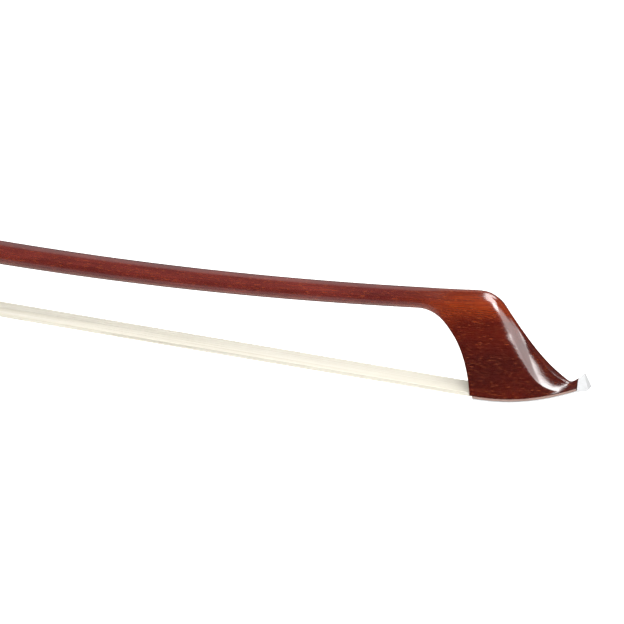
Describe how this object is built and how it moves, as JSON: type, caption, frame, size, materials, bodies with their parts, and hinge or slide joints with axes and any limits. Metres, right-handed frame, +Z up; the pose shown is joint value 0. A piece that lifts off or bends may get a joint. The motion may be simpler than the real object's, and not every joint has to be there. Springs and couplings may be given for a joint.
{
  "type": "double bass bow",
  "caption": "French-pattern double bass bow: cambered wooden stick with beaked head, flat hair band, ebony frog and screw adjuster.",
  "frame": {"origin": "on the surface the bow lies on, below the middle of its box", "axes": "+X along the bow towards the head, +Z up from the hair to the stick, +Y to the left of the stick seen from the button"},
  "size_m": [0.6928, 0.0168, 0.0376],
  "materials": {
    "stick_wood": "polished",
    "liner_fibre": "matte",
    "silver": "satin",
    "lapping_silver": "satin",
    "plug_wood": "matte",
    "hair": "satin",
    "leather": "matte",
    "ebony": "polished",
    "pearl": "gloss",
    "brass": "satin",
    "steel": "satin"
  },
  "bodies": {
    "stick": {"stick": "stick_wood", "tip_liner": "liner_fibre", "tip_plate": "silver", "tip_plug": "plug_wood", "hair_tip_knot": "hair", "hair_ribbon": "hair", "thumb_leather": "leather", "grip_lapping": "lapping_silver"},
    "frog": {"ferrule": "silver", "spreader_wedge": "plug_wood", "frog_body": "ebony", "underslide": "silver", "slide_base": "ebony", "slide_pearl": "pearl", "heel_plate": "silver", "eye_ring_left": "silver", "eye_ring_right": "silver", "eye_pearl_left": "pearl", "eye_pearl_right": "pearl", "hair_frog_knot": "hair", "frog_plug": "plug_wood", "eyelet": "brass"},
    "adjuster": {"adjuster_screw": "steel", "button_front_collar": "silver", "button_barrel": "ebony", "button_rear_collar": "silver", "button_eye": "pearl"}
  },
  "joints": [
    {"name": "adjuster_turn", "type": "hinge", "parent": "stick", "child": "adjuster", "pos_m": [-0.3271, 0, 0.0296], "axis": [1, 0, 0], "range_deg": [-2000, 1000]},
    {"name": "frog_slide", "type": "slide", "parent": "stick", "child": "frog", "axis": [-1, 0, 0], "range_m": [-0.005, 0.0025], "deforming": ["hair_ribbon"]}
  ],
  "couplings": [
    {"joint": "adjuster_turn", "follows": "frog_slide", "rad_per_m": 6980}
  ]
}
